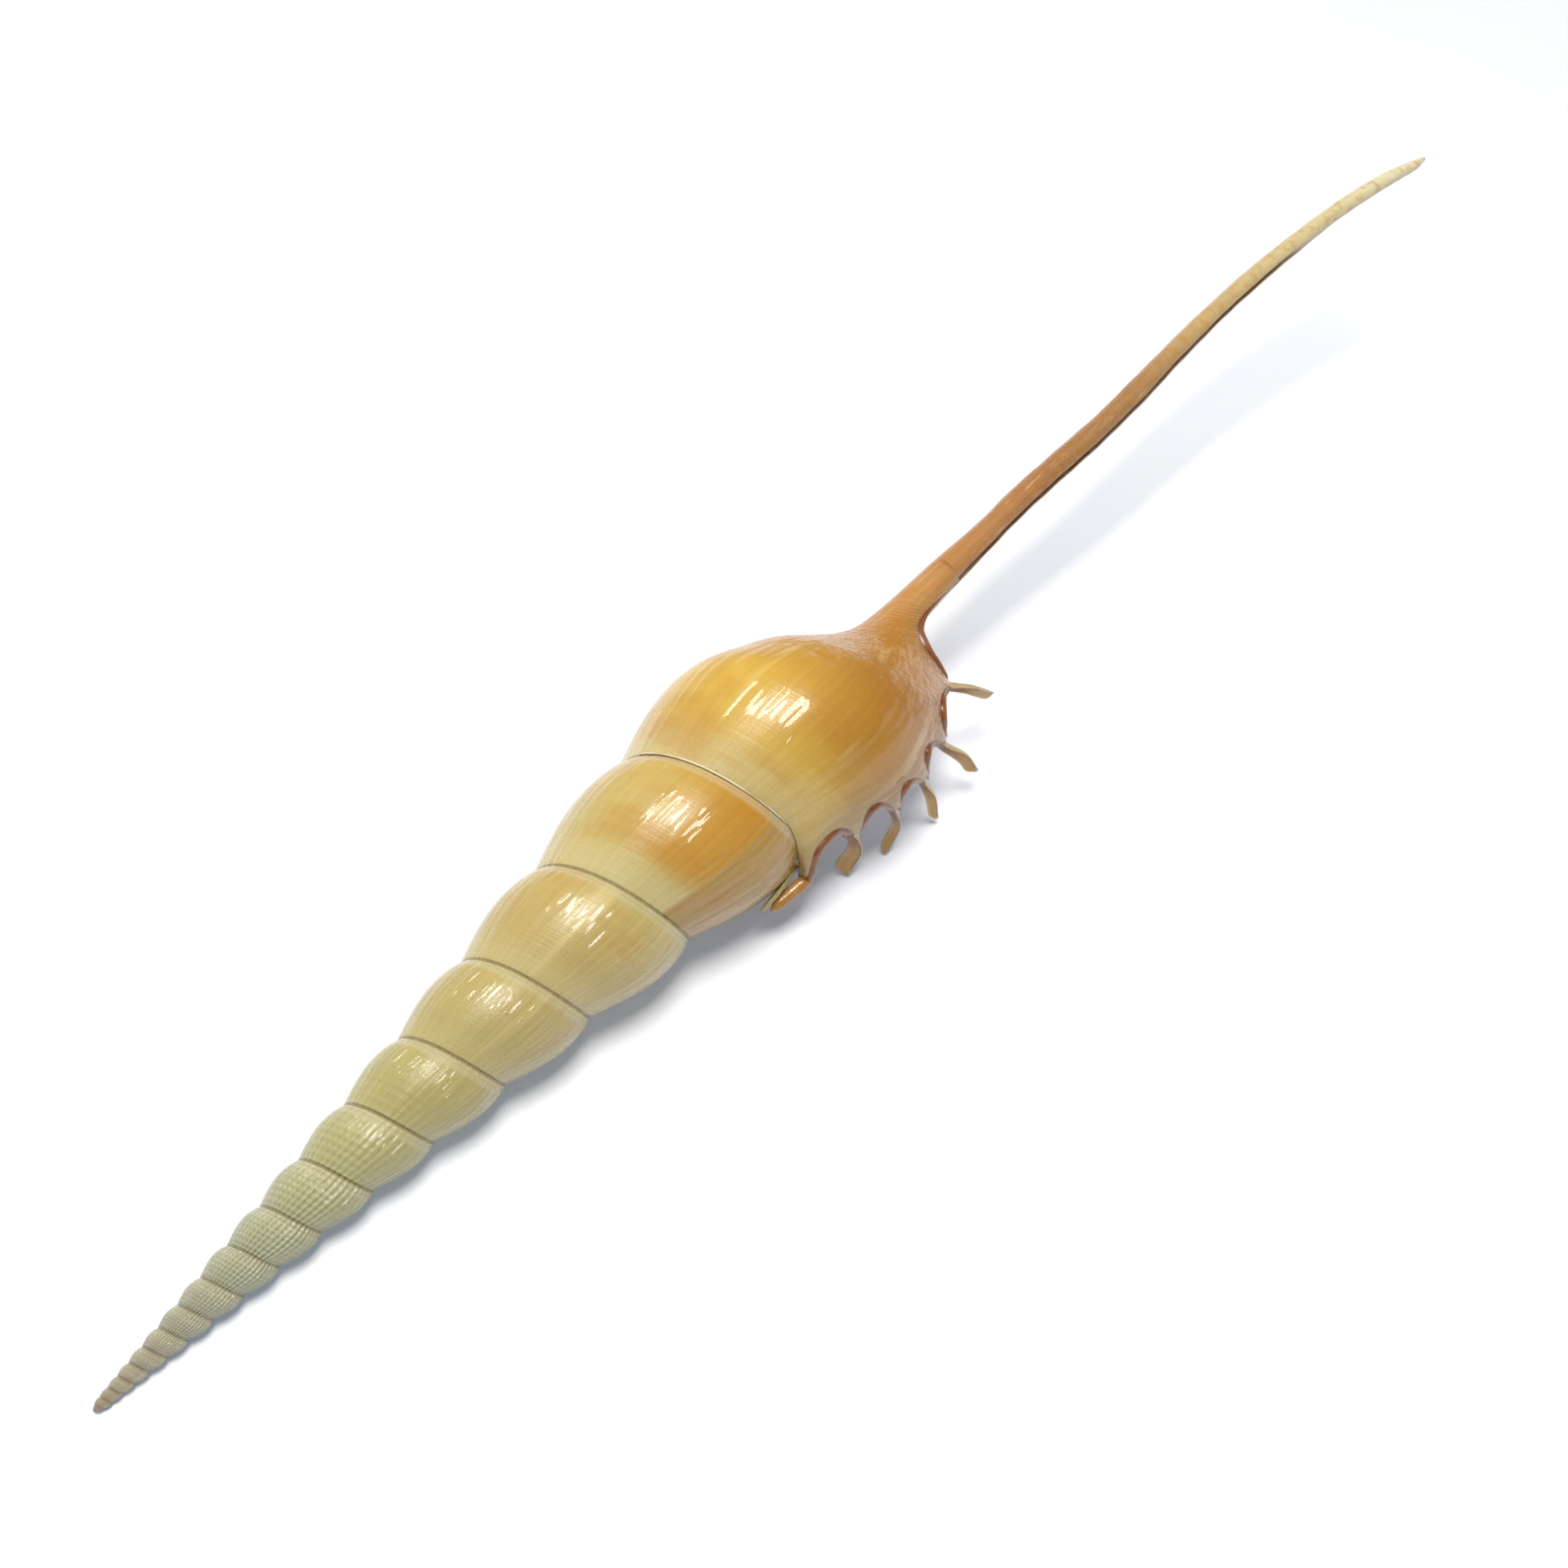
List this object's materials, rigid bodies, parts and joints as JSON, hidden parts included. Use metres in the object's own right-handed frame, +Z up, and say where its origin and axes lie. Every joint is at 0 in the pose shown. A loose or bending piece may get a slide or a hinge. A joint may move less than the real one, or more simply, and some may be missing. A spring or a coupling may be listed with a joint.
{
  "type": "tibia shell",
  "caption": "Slender spindle-shaped sea shell with a tall whorled spire, a smooth body whorl, an outer lip with finger-like prongs and a long thin open canal.",
  "frame": {"origin": "centre of the footprint, on the surface the shell rests on", "axes": "+Z up; +X from the apex towards the tip of the canal; the outer lip and its fingers face -Y; the opening faces down"},
  "size_m": [0.218, 0.0276, 0.0304],
  "materials": {
    "shell": "smooth glossy calcareous shell, amber on the last whorl fading to grey-cream on the spire, tan on the canal"
  },
  "bodies": {
    "root": {"tibia_shell": "shell"}
  },
  "joints": []
}
